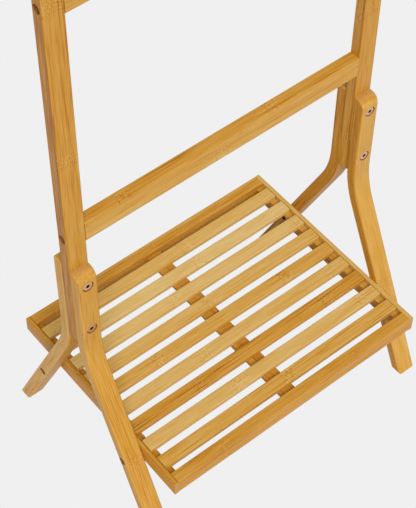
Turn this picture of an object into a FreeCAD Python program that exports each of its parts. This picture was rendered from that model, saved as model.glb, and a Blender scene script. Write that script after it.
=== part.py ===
import FreeCAD, Part
import math
import os
import Sketcher

# Ladder shelf: two uprights joined by rails, four bent legs that clamp the upright feet, and a
# slatted tray bolted between the legs.
# Frame: X runs along the rails, Y runs from front to back, Z is up. The origin lies on the floor
# at the middle of the footprint. Millimetres throughout.

DIMENSIONS = [
    # alias, value, meaning
    ("inner_width", 401, "clear width between the two uprights"),
    ("bar_width", 26, "width of uprights and legs along X"),
    ("bar_depth", 16, "depth of uprights and rails along Y"),
    ("bar_round", 1.5, "edge rounding of uprights and rails"),
    ("upright_foot", 307, "height of the upright's lower end"),
    ("upright_top", 1200, "height of the upright's upper end"),
    ("rail_height", 30, "height of a rail"),
    ("rail_base", 477, "underside of the lowest rail"),
    ("rail_pitch", 340, "distance from one rail to the next"),
    ("leg_depth", 16, "thickness of a leg"),
    ("leg_top", 440, "height of the leg's upper end"),
    ("leg_nose", 12, "radius of a front leg's rounded upper corner"),
    ("rear_nose", 3, "radius of the same corner on a rear leg"),
    ("leg_bend_base", 317, "height where the leg starts to bend"),
    ("leg_bend_radius", 142, "bend radius of the leg's outer face"),
    ("leg_splay", 24.6, "splay of the lower leg from the vertical, degrees"),
    ("leg_round", 2.5, "edge rounding of a leg"),
    ("tray_depth", 318, "tray size along Y"),
    ("tray_top", 144, "height of the tray's upper face"),
    ("board_height", 25, "height of the boards round the tray"),
    ("board_depth", 16, "thickness of the front and back boards"),
    ("board_round", 1.2, "edge rounding of the tray boards"),
    ("side_width", 6, "thickness of the side boards"),
    ("cleat_width", 10, "width of the cleats under the slat ends"),
    ("slat_width", 19, "width of a slat along Y"),
    ("slat_depth", 8, "thickness of a slat"),
    ("slat_pitch", 31, "distance from one slat to the next"),
    ("slat_play", 0.5, "gap between a slat end and its side board"),
    ("slat_round", 1, "edge rounding of a slat"),
    ("strip_width", 22, "width of the strip under the middle of the slats"),
    ("strip_depth", 8, "thickness of that strip"),
    ("bolt_shank", 6, "diameter of every bolt's shank"),
    ("bolt_bore", 6.4, "bore for a bolt"),
    ("head_height", 4, "height of every bolt's head"),
    ("leg_head", 13, "diameter of the heads on the legs' broad faces"),
    ("leg_recess", 4.5, "depth of the recess for such a head"),
    ("leg_recess_bore", 14.4, "diameter of that recess"),
    ("side_head", 10, "diameter of the heads on the outer side faces"),
    ("side_recess", 9, "depth of the deep recess for such a head"),
    ("side_recess_bore", 11, "diameter of that recess"),
    ("socket_flats", 4, "hex socket, across the flats"),
    ("socket_depth", 2.5, "depth of the hex socket"),
    ("leg_bolt_low", 338, "height of the lower leg bolt"),
    ("leg_bolt_rise", 82, "distance between the two leg bolts"),
    ("leg_bolt_end", 10, "position of the leg bolt's end along Y"),
    ("sleeve_shank", 8, "outer diameter of a sleeve nut"),
    ("sleeve_bore", 8.4, "bore for a sleeve nut"),
    ("sleeve_start", 2, "position of the sleeve nut's open end along Y"),
    ("rail_bolt_length", 40, "length of a rail bolt under its head"),
    ("insert_shank", 9, "outer diameter of a threaded insert"),
    ("insert_bore", 9.4, "bore for a threaded insert"),
    ("rail_insert_length", 13, "length of the inserts in the rails"),
    ("tray_bolt_out", 85.5, "position of a tray bolt along Y"),
    ("tray_bolt_lift", 130, "height of a tray bolt"),
    ("tray_bolt_length", 32, "length of a tray bolt under its head"),
    ("screw_shank", 3, "diameter of a slat screw"),
    ("screw_bore", 3.3, "bore for a slat screw"),
    ("screw_head", 6, "head diameter of a slat screw"),
    ("screw_head_height", 2, "height of the slat screw's cone head"),
    ("screw_length", 21, "length of a screw through a cleat"),
    ("strip_screw_length", 12, "length of a screw through the middle strip"),
]

RAILS = ["lower_rail", "middle_rail", "top_rail"]
SLATS = 9
SLAT_SPAN = "(%d - 1) * dims.slat_pitch" % SLATS

doc = FreeCAD.newDocument("ladder_shelf")
sheet = doc.addObject("Spreadsheet::Sheet", "dims")
for row, (alias, value, meaning) in enumerate(DIMENSIONS, start=1):
    sheet.set("A%d" % row, alias)
    sheet.set("B%d" % row, str(value))
    sheet.set("C%d" % row, meaning)
    sheet.setAlias("B%d" % row, alias)
doc.recompute()

parts = []


def number(expression):
    """Plain number that an expression over the sheet gives now, for placing a sketch's first guess."""
    result = sheet.evalExpression(expression.replace("dims.", ""))
    return float(getattr(result, "Value", result))


def new_body(label):
    """Start a sub-part's body and put it on the list of sub-parts."""
    body = doc.addObject("PartDesign::Body", label)
    body.Label = label
    parts.append(body)
    return body


def new_sketch(body, name, plane, offset="0"):
    """Sketch on one of the body's own origin planes, moved along that plane's normal."""
    sketch = body.newObject("Sketcher::SketchObject", body.Label + "_" + name)
    planes = {feature.Role: feature for feature in body.Origin.OriginFeatures}
    sketch.AttachmentSupport = [(planes[plane], "")]
    sketch.MapMode = "FlatFace"
    sketch.setExpression("AttachmentOffset.Base.z", offset)
    return sketch


def bind(sketch, constraint, name, expression):
    """Add a dimension to the sketch and drive it from the sheet."""
    index = sketch.addConstraint(constraint)
    sketch.renameConstraint(index, name)
    sketch.setExpression("Constraints." + name, expression)


def rectangle(sketch, left, right, low, high):
    """Rectangle whose four sides lie at the given distances from the sketch's origin."""
    x0, x1, y0, y1 = [number(side) for side in (left, right, low, high)]
    corners = [FreeCAD.Vector(*c, 0) for c in ((x0, y0), (x1, y0), (x1, y1), (x0, y1))]
    for i in range(4):
        sketch.addGeometry(Part.LineSegment(corners[i], corners[(i + 1) % 4]))
    for i in range(4):
        sketch.addConstraint(Sketcher.Constraint("Coincident", i, 2, (i + 1) % 4, 1))
    for i, direction in enumerate(("Horizontal", "Vertical", "Horizontal", "Vertical")):
        sketch.addConstraint(Sketcher.Constraint(direction, i))
    bind(sketch, Sketcher.Constraint("DistanceX", -1, 1, 0, 1, x0), "left_side", left)
    bind(sketch, Sketcher.Constraint("DistanceX", -1, 1, 2, 1, x1), "right_side", right)
    bind(sketch, Sketcher.Constraint("DistanceY", -1, 1, 0, 1, y0), "low_side", low)
    bind(sketch, Sketcher.Constraint("DistanceY", -1, 1, 2, 1, y1), "high_side", high)


def circle(sketch, name, across, up, diameter):
    """Circle at a position measured from the sketch's origin."""
    x, y, size = number(across), number(up), number(diameter)
    index = sketch.addGeometry(Part.Circle(FreeCAD.Vector(x, y, 0), FreeCAD.Vector(0, 0, 1), size / 2))
    bind(sketch, Sketcher.Constraint("DistanceX", -1, 1, index, 3, x), name + "_across", across)
    bind(sketch, Sketcher.Constraint("DistanceY", -1, 1, index, 3, y), name + "_up", up)
    bind(sketch, Sketcher.Constraint("Diameter", index, size), name + "_size", diameter)


def pad(body, sketch, length, symmetric=False):
    """Extrude a sketch along its normal, or half each way."""
    feature = body.newObject("PartDesign::Pad", body.Label + "_pad")
    feature.Profile = sketch
    feature.setExpression("Length", length)
    feature.SideType = "Symmetric" if symmetric else "One side"
    doc.recompute()
    return feature


def round_edges(body, feature, radius, wanted):
    """Fillet the edges of a feature that the test picks out."""
    names = ["Edge%d" % (i + 1) for i, edge in enumerate(feature.Shape.Edges) if wanted(edge)]
    fillet = body.newObject("PartDesign::Fillet", body.Label + "_rounding")
    fillet.Base = (feature, names)
    fillet.setExpression("Radius", radius)
    doc.recompute()
    return fillet


def along(axis):
    """Edge test: straight and parallel to one axis."""
    direction = FreeCAD.Vector(*[float(name == axis) for name in "XYZ"])

    def test(edge):
        if not isinstance(edge.Curve, Part.Line):
            return False
        return abs(edge.tangentAt(edge.FirstParameter).dot(direction)) > 0.999
    return test


def bore(body, name, plane, offset, holes, depth=None, flip=False):
    """Cut round holes (across, up, diameter) from an offset plane, to a depth or right through."""
    sketch = new_sketch(body, name + "_plan", plane, offset)
    for i, (across, up, diameter) in enumerate(holes):
        circle(sketch, "hole%d" % i, across, up, diameter)
    doc.recompute()
    before = body.Shape.Volume
    pocket = body.newObject("PartDesign::Pocket", body.Label + "_" + name)
    pocket.Profile = sketch
    pocket.Reversed = flip
    if depth is None:
        pocket.Type = "ThroughAll"
    else:
        pocket.setExpression("Length", depth)
    doc.recompute()
    if body.Shape.Volume > before - 0.5:
        raise RuntimeError("the bore %s cut nothing from %s" % (name, body.Label))


def plain_board(label, across, depth, height, radius, long_axis):
    """Rounded board between (low, high) pairs along X, Y and Z."""
    body = new_body(label)
    sketch = new_sketch(body, "plan", "XY_Plane", height[0])
    rectangle(sketch, across[0], across[1], depth[0], depth[1])
    block = pad(body, sketch, "%s - (%s)" % (height[1], height[0]))
    round_edges(body, block, radius, along(long_axis))
    return body


def upright(label, side):
    """Flat bar that stands between the legs, with cross bores for the rails and the leg bolts."""
    middle = "%d * (dims.inner_width + dims.bar_width) / 2" % side
    body = plain_board(label, ("-dims.bar_width / 2", "dims.bar_width / 2"),
                       ("-dims.bar_depth / 2", "dims.bar_depth / 2"),
                       ("dims.upright_foot", "dims.upright_top"), "dims.bar_round", "Z")
    body.setExpression("Placement.Base.x", middle)
    rails = ["dims.rail_base + dims.rail_height / 2 + %d * dims.rail_pitch" % i for i in range(len(RAILS))]
    face = "%d * dims.bar_width / 2" % side
    flip = side < 0
    bore(body, "rail_bores", "YZ_Plane", face, [("0", rail, "dims.bolt_bore") for rail in rails],
         "dims.bar_width + 1", flip)
    bore(body, "head_recesses", "YZ_Plane", face, [("0", rail, "dims.side_recess_bore") for rail in rails],
         "dims.side_recess", flip)
    heights = ("dims.leg_bolt_low", "dims.leg_bolt_low + dims.leg_bolt_rise")
    bore(body, "leg_bores", "XZ_Plane", "dims.bar_depth / 2",
         [("0", level, "dims.sleeve_bore") for level in heights], "dims.bar_depth + 1")


def rail(label, index):
    """Bar between the uprights, bored at both ends for a bolt and its threaded insert."""
    base = "dims.rail_base + %d * dims.rail_pitch" % index
    body = plain_board(label, ("-dims.inner_width / 2", "dims.inner_width / 2"),
                       ("-dims.bar_depth / 2", "dims.bar_depth / 2"),
                       (base, base + " + dims.rail_height"), "dims.bar_round", "X")
    centre = base + " + dims.rail_height / 2"
    for side, name in ((-1, "left"), (1, "right")):
        face = "%d * dims.inner_width / 2" % side
        bore(body, name + "_bolt_bore", "YZ_Plane", face, [("0", centre, "dims.bolt_bore")],
             "dims.rail_bolt_length - dims.bar_width + dims.side_recess + 2", side < 0)
        bore(body, name + "_insert_bore", "YZ_Plane", face, [("0", centre, "dims.insert_bore")],
             "dims.rail_insert_length", side < 0)


def leg_outline(sketch, nose_name):
    """Side view of a leg in front: straight upper part, bend, splayed lower part, level foot."""
    inner = number("dims.bar_depth / 2")
    outer = inner + number("dims.leg_depth")
    top = number("dims.leg_top")
    nose = number(nose_name)
    knee = number("dims.leg_bend_base")
    small = number("dims.leg_bend_radius")
    large = small + number("dims.leg_depth")
    splay = math.radians(number("dims.leg_splay"))
    centre = FreeCAD.Vector(-outer - small, knee, 0)

    def on_bend(radius):
        return centre + FreeCAD.Vector(radius * math.cos(splay), -radius * math.sin(splay), 0)

    def on_floor(point):
        return FreeCAD.Vector(point.x - point.y * math.tan(splay), 0, 0)

    normal = FreeCAD.Vector(0, 0, 1)
    nose_centre = FreeCAD.Vector(nose - outer, top - nose, 0)
    line = Part.LineSegment
    back_top, back_knee = FreeCAD.Vector(-inner, top, 0), FreeCAD.Vector(-inner, knee, 0)
    front_top, front_knee = FreeCAD.Vector(-outer, top - nose, 0), FreeCAD.Vector(-outer, knee, 0)
    back_foot, front_foot = on_floor(on_bend(large)), on_floor(on_bend(small))
    sketch.addGeometry([
        line(back_top, back_knee),
        Part.ArcOfCircle(Part.Circle(centre, normal, large), -splay, 0),
        line(on_bend(large), back_foot),
        line(back_foot, front_foot),
        line(front_foot, on_bend(small)),
        Part.ArcOfCircle(Part.Circle(centre, normal, small), -splay, 0),
        line(front_knee, front_top),
        Part.ArcOfCircle(Part.Circle(nose_centre, normal, nose), math.pi / 2, math.pi),
        line(FreeCAD.Vector(nose - outer, top, 0), back_top)])
    back_line, back_bend, back_shin, foot, front_shin, front_bend, front_line, nose_arc, cap = range(9)
    for first, end_a, second, end_b in ((back_line, 2, back_bend, 2), (back_bend, 1, back_shin, 1),
                                        (front_shin, 2, front_bend, 1), (front_bend, 2, front_line, 1),
                                        (front_line, 2, nose_arc, 2), (nose_arc, 1, cap, 1)):
        sketch.addConstraint(Sketcher.Constraint("Tangent", first, end_a, second, end_b))
    for first, end_a, second, end_b in ((back_shin, 2, foot, 1), (foot, 2, front_shin, 1),
                                        (cap, 2, back_line, 1), (back_bend, 3, front_bend, 3)):
        sketch.addConstraint(Sketcher.Constraint("Coincident", first, end_a, second, end_b))
    sketch.addConstraint(Sketcher.Constraint("Vertical", back_line))
    sketch.addConstraint(Sketcher.Constraint("Horizontal", cap))
    sketch.addConstraint(Sketcher.Constraint("Horizontal", foot))
    sketch.addConstraint(Sketcher.Constraint("Parallel", back_shin, front_shin))
    bind(sketch, Sketcher.Constraint("DistanceX", -1, 1, back_line, 1, -inner), "back_face",
         "-dims.bar_depth / 2")
    bind(sketch, Sketcher.Constraint("DistanceX", -1, 1, front_line, 1, -outer), "front_face",
         "-(dims.bar_depth / 2 + dims.leg_depth)")
    bind(sketch, Sketcher.Constraint("DistanceY", -1, 1, back_line, 1, top), "top_level", "dims.leg_top")
    bind(sketch, Sketcher.Constraint("DistanceY", -1, 1, back_bend, 3, knee), "knee_level",
         "dims.leg_bend_base")
    sketch.addConstraint(Sketcher.Constraint("PointOnObject", foot, 1, -1))
    bind(sketch, Sketcher.Constraint("Radius", nose_arc, nose), "nose_radius", nose_name)
    bind(sketch, Sketcher.Constraint("Radius", front_bend, small), "bend_radius", "dims.leg_bend_radius")
    bind(sketch, Sketcher.Constraint("Angle", front_shin, math.pi / 2 - splay), "splay_angle",
         "90 - dims.leg_splay")


def leg(label, side, end):
    """Bent leg. The rear legs are turned half round about the vertical and have a squarer top."""
    body = new_body(label)
    sketch = new_sketch(body, "side_view", "YZ_Plane")
    leg_outline(sketch, "dims.leg_nose" if end < 0 else "dims.rear_nose")
    block = pad(body, sketch, "dims.bar_width", symmetric=True)
    half = number("dims.bar_width / 2")

    def on_side_face(edge):
        beside = all(abs(abs(vertex.Point.x) - half) < 1e-6 for vertex in edge.Vertexes)
        return beside and not along("X")(edge)
    round_edges(body, block, "dims.leg_round", on_side_face)
    heights = ("dims.leg_bolt_low", "dims.leg_bolt_low + dims.leg_bolt_rise")
    shank = "dims.bolt_bore" if end < 0 else "dims.sleeve_bore"
    outer = "dims.bar_depth / 2 + dims.leg_depth"
    bore(body, "leg_bores", "XZ_Plane", outer, [("0", level, shank) for level in heights],
         "dims.leg_depth + 1")
    bore(body, "head_recesses", "XZ_Plane", outer,
         [("0", level, "dims.leg_recess_bore") for level in heights], "dims.leg_recess")
    outward = side * -end
    face = "%d * dims.bar_width / 2" % outward
    spot = ("-dims.tray_bolt_out", "dims.tray_bolt_lift")
    bore(body, "tray_bore", "YZ_Plane", face, [spot + ("dims.bolt_bore",)], "dims.bar_width + 1",
         outward < 0)
    bore(body, "tray_recess", "YZ_Plane", face, [spot + ("dims.side_recess_bore",)], "dims.side_recess",
         outward < 0)
    if end > 0:
        body.Placement = FreeCAD.Placement(FreeCAD.Vector(), FreeCAD.Rotation(FreeCAD.Vector(0, 0, 1), 180))
    body.setExpression("Placement.Base.x", "%d * (dims.inner_width + dims.bar_width) / 2" % side)


TRAY_HALF = "dims.inner_width / 2"
SIDE_INNER = "(dims.inner_width / 2 - dims.side_width)"
CLEAT_INNER = "(dims.inner_width / 2 - dims.side_width - dims.cleat_width)"
END_INNER = "(dims.tray_depth / 2 - dims.board_depth)"
TRAY_BASE = "(dims.tray_top - dims.board_height)"
SLAT_BASE = "(dims.tray_top - dims.slat_depth)"


def spans(side, near, far):
    """Low and high bound of a piece that lies on one side of the middle."""
    return (near, far) if side > 0 else ("-" + far, "-" + near)


def end_board(label, end):
    """Front or back board of the tray, between the two side boards."""
    plain_board(label, ("-" + SIDE_INNER, SIDE_INNER), spans(end, END_INNER, "dims.tray_depth / 2"),
                (TRAY_BASE, "dims.tray_top"), "dims.board_round", "X")


def side_board(label, side):
    """Thin end of the tray, bored for the two tray bolts."""
    body = plain_board(label, spans(side, SIDE_INNER, TRAY_HALF),
                       ("-dims.tray_depth / 2", "dims.tray_depth / 2"),
                       (TRAY_BASE, "dims.tray_top"), "dims.board_round", "Y")
    holes = [("%d * dims.tray_bolt_out" % end, "dims.tray_bolt_lift", "dims.bolt_bore") for end in (-1, 1)]
    bore(body, "bolt_bores", "YZ_Plane", "%d * %s" % (side, TRAY_HALF), holes,
         "dims.side_width + 1", side < 0)


def slat_lines():
    """Y position of each slat's middle, from the back one to the front one."""
    return ["%g * dims.slat_pitch" % ((SLATS - 1) / 2 - i) for i in range(SLATS)]


def cleat(label, side):
    """Strip along the inside of a side board that carries the slat ends."""
    body = plain_board(label, spans(side, CLEAT_INNER, SIDE_INNER), ("-" + END_INNER, END_INNER),
                       (TRAY_BASE, SLAT_BASE), "dims.slat_round", "Z")
    holes = [("%d * dims.tray_bolt_out" % end, "dims.tray_bolt_lift", "dims.insert_bore") for end in (-1, 1)]
    bore(body, "insert_bores", "YZ_Plane", "%d * %s" % (side, SIDE_INNER), holes,
         "dims.cleat_width + 1", side < 0)
    middle = "%d * (dims.inner_width / 2 - dims.side_width - dims.cleat_width / 2)" % side
    bore(body, "screw_bores", "XY_Plane", SLAT_BASE,
         [(middle, line, "dims.screw_bore") for line in slat_lines()], "dims.board_height")
    bore(body, "screw_heads", "XY_Plane", TRAY_BASE + " + dims.screw_head_height",
         [(middle, line, "dims.screw_head + 0.4") for line in slat_lines()], "dims.screw_head_height + 1")


def middle_strip():
    """Flat strip under the middle of the slats."""
    body = plain_board("middle_strip", ("-dims.strip_width / 2", "dims.strip_width / 2"),
                       ("-" + END_INNER, END_INNER), (SLAT_BASE + " - dims.strip_depth", SLAT_BASE),
                       "dims.slat_round", "Y")
    bore(body, "screw_bores", "XY_Plane", SLAT_BASE,
         [("0", line, "dims.screw_bore") for line in slat_lines()], "dims.strip_depth + 1")
    bore(body, "screw_heads", "XY_Plane", SLAT_BASE + " - dims.strip_depth + dims.screw_head_height",
         [("0", line, "dims.screw_head + 0.4") for line in slat_lines()], "dims.screw_head_height + 1")


def slat(index, line):
    """One slat, drilled from below for its three screws."""
    half = "(dims.inner_width / 2 - dims.side_width - dims.slat_play)"
    body = plain_board("slat_%d" % (index + 1), ("-" + half, half),
                       (line + " - dims.slat_width / 2", line + " + dims.slat_width / 2"),
                       (SLAT_BASE, "dims.tray_top"), "dims.slat_round", "X")
    end = "(dims.inner_width / 2 - dims.side_width - dims.cleat_width / 2)"
    bore(body, "screw_bores", "XY_Plane", SLAT_BASE,
         [(across, line, "dims.screw_bore") for across in ("-" + end, "0", end)],
         "dims.slat_depth - 2", flip=True)


def turned_piece(body, name, plane, offset, steps, middle=("0", "0")):
    """Stack of round steps (diameter, start, length) along a plane's normal, fused into one body.

    The start is measured from the plane, and offset moves the whole stack along the normal.
    """
    made = []
    for i, (diameter, start, length) in enumerate(steps):
        sketch = new_sketch(body, "%s_step%d" % (name, i), plane, "%s + %s" % (offset, start))
        circle(sketch, "step", middle[0], middle[1], diameter)
        step = body.newObject("PartDesign::Pad", "%s_%s_pad%d" % (body.Label, name, i))
        step.Profile = sketch
        step.setExpression("Length", length)
        doc.recompute()
        made.append(step)
    return made


def cut_hexagon(body, plane, offset, middle, flip):
    """Hex socket sunk into a head."""
    sketch = new_sketch(body, "socket_plan", plane, offset)
    x, y = number(middle[0]), number(middle[1])
    reach = number("dims.socket_flats") / math.sqrt(3)
    corners = [FreeCAD.Vector(x + reach * math.cos(math.radians(60 * i)),
                              y + reach * math.sin(math.radians(60 * i)), 0) for i in range(6)]
    for i in range(6):
        sketch.addGeometry(Part.LineSegment(corners[i], corners[(i + 1) % 6]))
    guide = sketch.addGeometry(Part.Circle(FreeCAD.Vector(x, y, 0), FreeCAD.Vector(0, 0, 1), reach), True)
    for i in range(6):
        sketch.addConstraint(Sketcher.Constraint("Coincident", i, 2, (i + 1) % 6, 1))
        sketch.addConstraint(Sketcher.Constraint("PointOnObject", i, 1, guide))
    for i in range(5):
        sketch.addConstraint(Sketcher.Constraint("Equal", i, i + 1))
    bind(sketch, Sketcher.Constraint("DistanceX", -1, 1, guide, 3, x), "across", middle[0])
    bind(sketch, Sketcher.Constraint("DistanceY", -1, 1, guide, 3, y), "up", middle[1])
    bind(sketch, Sketcher.Constraint("Radius", guide, reach), "reach", "dims.socket_flats / sqrt(3)")
    sketch.addConstraint(Sketcher.Constraint("Horizontal", 1))
    pocket = body.newObject("PartDesign::Pocket", body.Label + "_socket")
    pocket.Profile = sketch
    pocket.Reversed = flip
    pocket.setExpression("Length", "dims.socket_depth")
    doc.recompute()
    return pocket


def repeat(body, originals, steps):
    """Repeat features: a step is a plane to mirror over, or (axis, spacing, number of copies)."""
    roles = {feature.Role: feature for feature in body.Origin.OriginFeatures}
    pattern = body.newObject("PartDesign::MultiTransform", body.Label + "_pattern")
    pattern.Originals = originals
    made = []
    for step in steps:
        if isinstance(step, str):
            made.append(body.newObject("PartDesign::Mirrored", "%s_%s_mirror" % (body.Label, step[:2])))
            made[-1].MirrorPlane = (roles[step], [""])
            continue
        axis, spacing, copies = step
        made.append(body.newObject("PartDesign::LinearPattern", "%s_%s_row" % (body.Label, axis[0])))
        made[-1].Direction = (roles[axis], [""])
        made[-1].setExpression("Length", "(%d) * (%s)" % (copies - 1, spacing))
        made[-1].Occurrences = copies
    pattern.Transformations = made
    body.Tip = pattern
    doc.recompute()


def group_body(label):
    """Body that may hold several loose solids: a set of the same fastener."""
    body = new_body(label)
    body.AllowCompound = True
    return body


def leg_bolts():
    """Two bolts through each front leg, upright and rear leg, heads sunk in the front legs."""
    body = group_body("leg_bolts")
    middle = ("-(dims.inner_width + dims.bar_width) / 2", "dims.leg_bolt_low")
    seat = "(dims.bar_depth / 2 + dims.leg_depth - dims.leg_recess)"
    steps = [("dims.leg_head", "0", "dims.head_height"),
             ("dims.bolt_shank", "-(%s + dims.leg_bolt_end)" % seat, "%s + dims.leg_bolt_end" % seat)]
    made = turned_piece(body, "bolt", "XZ_Plane", seat, steps, middle)
    made.append(cut_hexagon(body, "XZ_Plane", seat + " + dims.head_height", middle, False))
    repeat(body, made, [("X_Axis", "dims.inner_width + dims.bar_width", 2),
                        ("Z_Axis", "dims.leg_bolt_rise", 2)])


def leg_sleeve_nuts():
    """Sleeve nuts in the rear legs, one for each leg bolt."""
    body = group_body("leg_sleeve_nuts")
    middle = ("-(dims.inner_width + dims.bar_width) / 2", "dims.leg_bolt_low")
    seat = "(dims.bar_depth / 2 + dims.leg_depth - dims.leg_recess)"
    steps = [("dims.leg_head", "-dims.head_height", "dims.head_height"),
             ("dims.sleeve_shank", "0", "%s - dims.sleeve_start" % seat)]
    made = turned_piece(body, "nut", "XZ_Plane", "-" + seat, steps, middle)
    sketch = new_sketch(body, "thread_plan", "XZ_Plane", "-dims.sleeve_start")
    circle(sketch, "thread", middle[0], middle[1], "dims.bolt_bore")
    thread = body.newObject("PartDesign::Pocket", "leg_sleeve_nuts_thread")
    thread.Profile = sketch
    thread.setExpression("Length", seat + " - dims.sleeve_start")
    doc.recompute()
    made.append(thread)
    made.append(cut_hexagon(body, "XZ_Plane", "-(%s + dims.head_height)" % seat, middle, True))
    repeat(body, made, [("X_Axis", "dims.inner_width + dims.bar_width", 2),
                        ("Z_Axis", "dims.leg_bolt_rise", 2)])


def rail_bolts():
    """One bolt through the upright into each rail end."""
    body = group_body("rail_bolts")
    middle = ("0", "dims.rail_base + dims.rail_height / 2")
    seat = "(dims.inner_width / 2 + dims.bar_width - dims.side_recess)"
    steps = [("dims.side_head", "0", "dims.head_height"),
             ("dims.bolt_shank", "-dims.rail_bolt_length", "dims.rail_bolt_length")]
    made = turned_piece(body, "bolt", "YZ_Plane", seat, steps, middle)
    made.append(cut_hexagon(body, "YZ_Plane", seat + " + dims.head_height", middle, False))
    repeat(body, made, ["YZ_Plane", ("Z_Axis", "dims.rail_pitch", len(RAILS))])


def tray_bolts():
    """One bolt through each leg into the tray."""
    body = group_body("tray_bolts")
    middle = ("dims.tray_bolt_out", "dims.tray_bolt_lift")
    seat = "(dims.inner_width / 2 + dims.bar_width - dims.side_recess)"
    steps = [("dims.side_head", "0", "dims.head_height"),
             ("dims.bolt_shank", "-dims.tray_bolt_length", "dims.tray_bolt_length")]
    made = turned_piece(body, "bolt", "YZ_Plane", seat, steps, middle)
    made.append(cut_hexagon(body, "YZ_Plane", seat + " + dims.head_height", middle, False))
    repeat(body, made, ["YZ_Plane", "XZ_Plane"])


def inserts(label, middle, start, length, copies):
    """Threaded inserts: short tubes that the bolts screw into, starting at a plane across X."""
    body = group_body(label)
    made = turned_piece(body, "tube", "YZ_Plane", start + " - " + length,
                        [("dims.insert_shank", "0", length)], middle)
    sketch = new_sketch(body, "thread_plan", "YZ_Plane", start)
    circle(sketch, "thread", middle[0], middle[1], "dims.bolt_bore")
    thread = body.newObject("PartDesign::Pocket", label + "_thread")
    thread.Profile = sketch
    thread.setExpression("Length", length)
    doc.recompute()
    repeat(body, made + [thread], copies)


def slat_screws():
    """Screws from below: a row through each cleat and a shorter row through the middle strip."""
    body = group_body("slat_screws")
    end = "(dims.inner_width / 2 - dims.side_width - dims.cleat_width / 2)"
    first = "-4 * dims.slat_pitch"
    made = []
    for name, across, base, length in (
            ("left", "-" + end, TRAY_BASE, "dims.screw_length"),
            ("middle", "0", SLAT_BASE + " - dims.strip_depth", "dims.strip_screw_length"),
            ("right", end, TRAY_BASE, "dims.screw_length")):
        steps = [("dims.screw_head", "0", "dims.screw_head_height"),
                 ("dims.screw_shank", "dims.screw_head_height", "%s - dims.screw_head_height" % length)]
        made += turned_piece(body, name, "XY_Plane", base, steps, (across, first))
    repeat(body, made, [("Y_Axis", "dims.slat_pitch", SLATS)])


upright("left_upright", -1)
upright("right_upright", 1)
for index, label in enumerate(RAILS):
    rail(label, index)
leg("left_front_leg", -1, -1)
leg("right_front_leg", 1, -1)
leg("left_rear_leg", -1, 1)
leg("right_rear_leg", 1, 1)
end_board("front_board", -1)
end_board("back_board", 1)
side_board("left_side_board", -1)
side_board("right_side_board", 1)
cleat("left_cleat", -1)
cleat("right_cleat", 1)
middle_strip()
for index, line in enumerate(slat_lines()):
    slat(index, line)
leg_bolts()
leg_sleeve_nuts()
rail_bolts()
tray_bolts()
inserts("rail_inserts", ("0", "dims.rail_base + dims.rail_height / 2"), "dims.inner_width / 2",
        "dims.rail_insert_length", ["YZ_Plane", ("Z_Axis", "dims.rail_pitch", len(RAILS))])
inserts("tray_inserts", ("dims.tray_bolt_out", "dims.tray_bolt_lift"), SIDE_INNER, "dims.cleat_width",
        ["YZ_Plane", "XZ_Plane"])
slat_screws()
doc.recompute()

for item in doc.Objects:
    if "Invalid" in item.State or "Error" in item.State:
        raise RuntimeError("%s failed: %s" % (item.Label, item.State))
for part in parts:
    if part.Shape.isNull() or not part.Shape.isValid():
        raise RuntimeError("%s has no valid shape" % part.Label)

os.makedirs("parts", exist_ok=True)
for part in parts:
    part.Shape.exportStep("parts/%s.step" % part.Label)
    box = part.Shape.BoundBox
    print("%-18s solids %2d  X %7.1f %7.1f  Y %7.1f %7.1f  Z %7.1f %7.1f" % (
        part.Label, len(part.Shape.Solids), box.XMin, box.XMax, box.YMin, box.YMax, box.ZMin, box.ZMax))
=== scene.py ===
# %% [markdown]
# # A bamboo ladder shelf
#
# The real piece is a small flat-packed shelf.  Two tall bars joined by rails make the ladder, and
# two pairs of bent legs clamp its foot and carry a slatted tray.  Everything is laminated bamboo
# under a satin lacquer, held together by sunk hexagon-socket bolts.
#
# The shape was designed in CAD, so this lesson starts from that frame and keeps its sizes.  The
# bars, rails, legs and boards stay, the slats and the bolts are made anew with softer edges, and
# most of the effort goes into the bamboo.

# %% Load the frame
import math
import bpy
import numpy as np
from mathutils import Matrix, Vector


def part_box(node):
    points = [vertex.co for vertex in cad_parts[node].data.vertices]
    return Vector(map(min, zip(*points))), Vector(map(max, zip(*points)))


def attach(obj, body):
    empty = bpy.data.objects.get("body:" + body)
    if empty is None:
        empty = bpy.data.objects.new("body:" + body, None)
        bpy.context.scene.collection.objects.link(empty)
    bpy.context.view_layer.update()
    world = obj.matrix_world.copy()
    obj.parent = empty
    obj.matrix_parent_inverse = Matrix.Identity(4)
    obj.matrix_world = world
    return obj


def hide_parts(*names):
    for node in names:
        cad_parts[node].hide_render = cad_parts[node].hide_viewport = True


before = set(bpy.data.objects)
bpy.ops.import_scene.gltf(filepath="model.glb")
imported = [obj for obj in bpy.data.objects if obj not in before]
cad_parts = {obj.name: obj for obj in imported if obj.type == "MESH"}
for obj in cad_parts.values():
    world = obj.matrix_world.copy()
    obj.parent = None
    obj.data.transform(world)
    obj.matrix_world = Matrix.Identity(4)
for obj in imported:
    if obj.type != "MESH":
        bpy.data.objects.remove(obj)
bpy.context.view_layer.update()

# %% [markdown]
# ## From points to a surface
#
# A surface can be pushed into shape by hand, or worked out.  Here every new surface is an array of
# points, and one helper joins neighbouring points with faces.  A worked-out shape can be made again
# at any size, and each of its numbers has a reason.

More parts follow.
